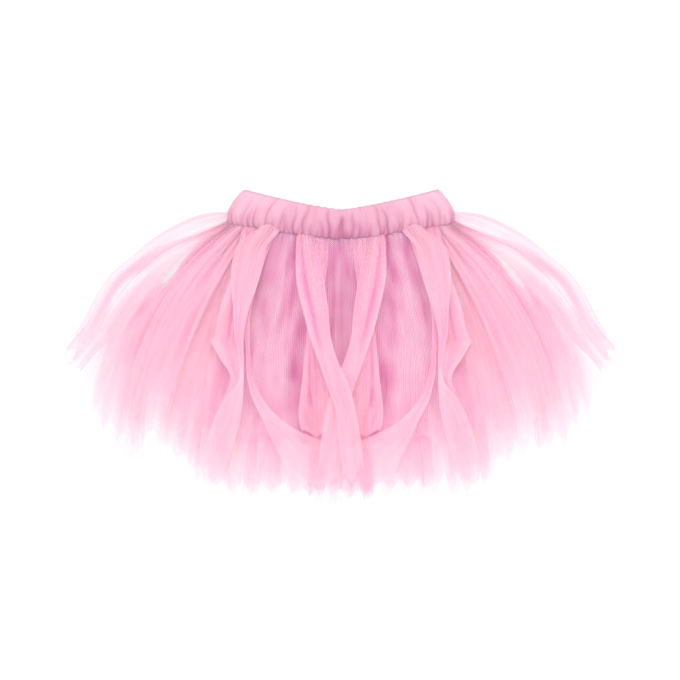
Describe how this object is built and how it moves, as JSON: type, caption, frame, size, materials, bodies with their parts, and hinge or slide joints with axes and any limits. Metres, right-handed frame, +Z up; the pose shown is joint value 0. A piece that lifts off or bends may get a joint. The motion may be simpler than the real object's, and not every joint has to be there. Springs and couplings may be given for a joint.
{
  "type": "tulle skirt",
  "caption": "Child's tutu laid out flat, front up: a gathered elastic waistband with base panels and loose pointed tulle strips that fan out to the hem.",
  "frame": {"origin": "under the middle of the skirt's outline, on the surface that it lies on", "axes": "+X to the right across the laid-out skirt, seen from above with the waistband at the top; +Y from the hem towards the waistband; +Z up, out of the surface"},
  "size_m": [0.562, 0.309, 0.0458],
  "materials": {
    "waistband": "soft sheen, finely gathered tulle over elastic",
    "panel_tulle": "matte gathered net in several layers, nearly opaque",
    "strip_tulle": "fine soft net, translucent, with a slight sheen"
  },
  "bodies": {
    "root": {"waistband": "waistband", "back_panel": "panel_tulle", "front_panel": "panel_tulle", "back_strip_01": "strip_tulle", "back_strip_02": "strip_tulle", "back_strip_03": "strip_tulle", "back_strip_04": "strip_tulle", "back_strip_05": "strip_tulle", "back_strip_06": "strip_tulle", "back_strip_07": "strip_tulle", "back_strip_08": "strip_tulle", "back_strip_09": "strip_tulle", "under_strip_01": "strip_tulle", "under_strip_02": "strip_tulle", "under_strip_03": "strip_tulle", "under_strip_04": "strip_tulle", "under_strip_05": "strip_tulle", "under_strip_06": "strip_tulle", "under_strip_07": "strip_tulle", "under_strip_08": "strip_tulle", "under_strip_09": "strip_tulle", "under_strip_10": "strip_tulle", "under_strip_11": "strip_tulle", "side_strip_1_left": "strip_tulle", "side_strip_2_left": "strip_tulle", "side_strip_3_left": "strip_tulle", "side_strip_1_right": "strip_tulle", "side_strip_2_right": "strip_tulle", "side_strip_3_right": "strip_tulle", "fall_strip_left": "strip_tulle", "arrow_strip_left": "strip_tulle", "cross_strip_left": "strip_tulle", "sweep_strip_left": "strip_tulle", "loop_strip_left": "strip_tulle", "wing_strip_left": "strip_tulle", "crest_strip_left": "strip_tulle", "fall_strip_right": "strip_tulle", "arrow_strip_right": "strip_tulle", "cross_strip_right": "strip_tulle", "sweep_strip_right": "strip_tulle", "loop_strip_right": "strip_tulle", "wing_strip_right": "strip_tulle", "crest_strip_right": "strip_tulle"}
  },
  "joints": []
}
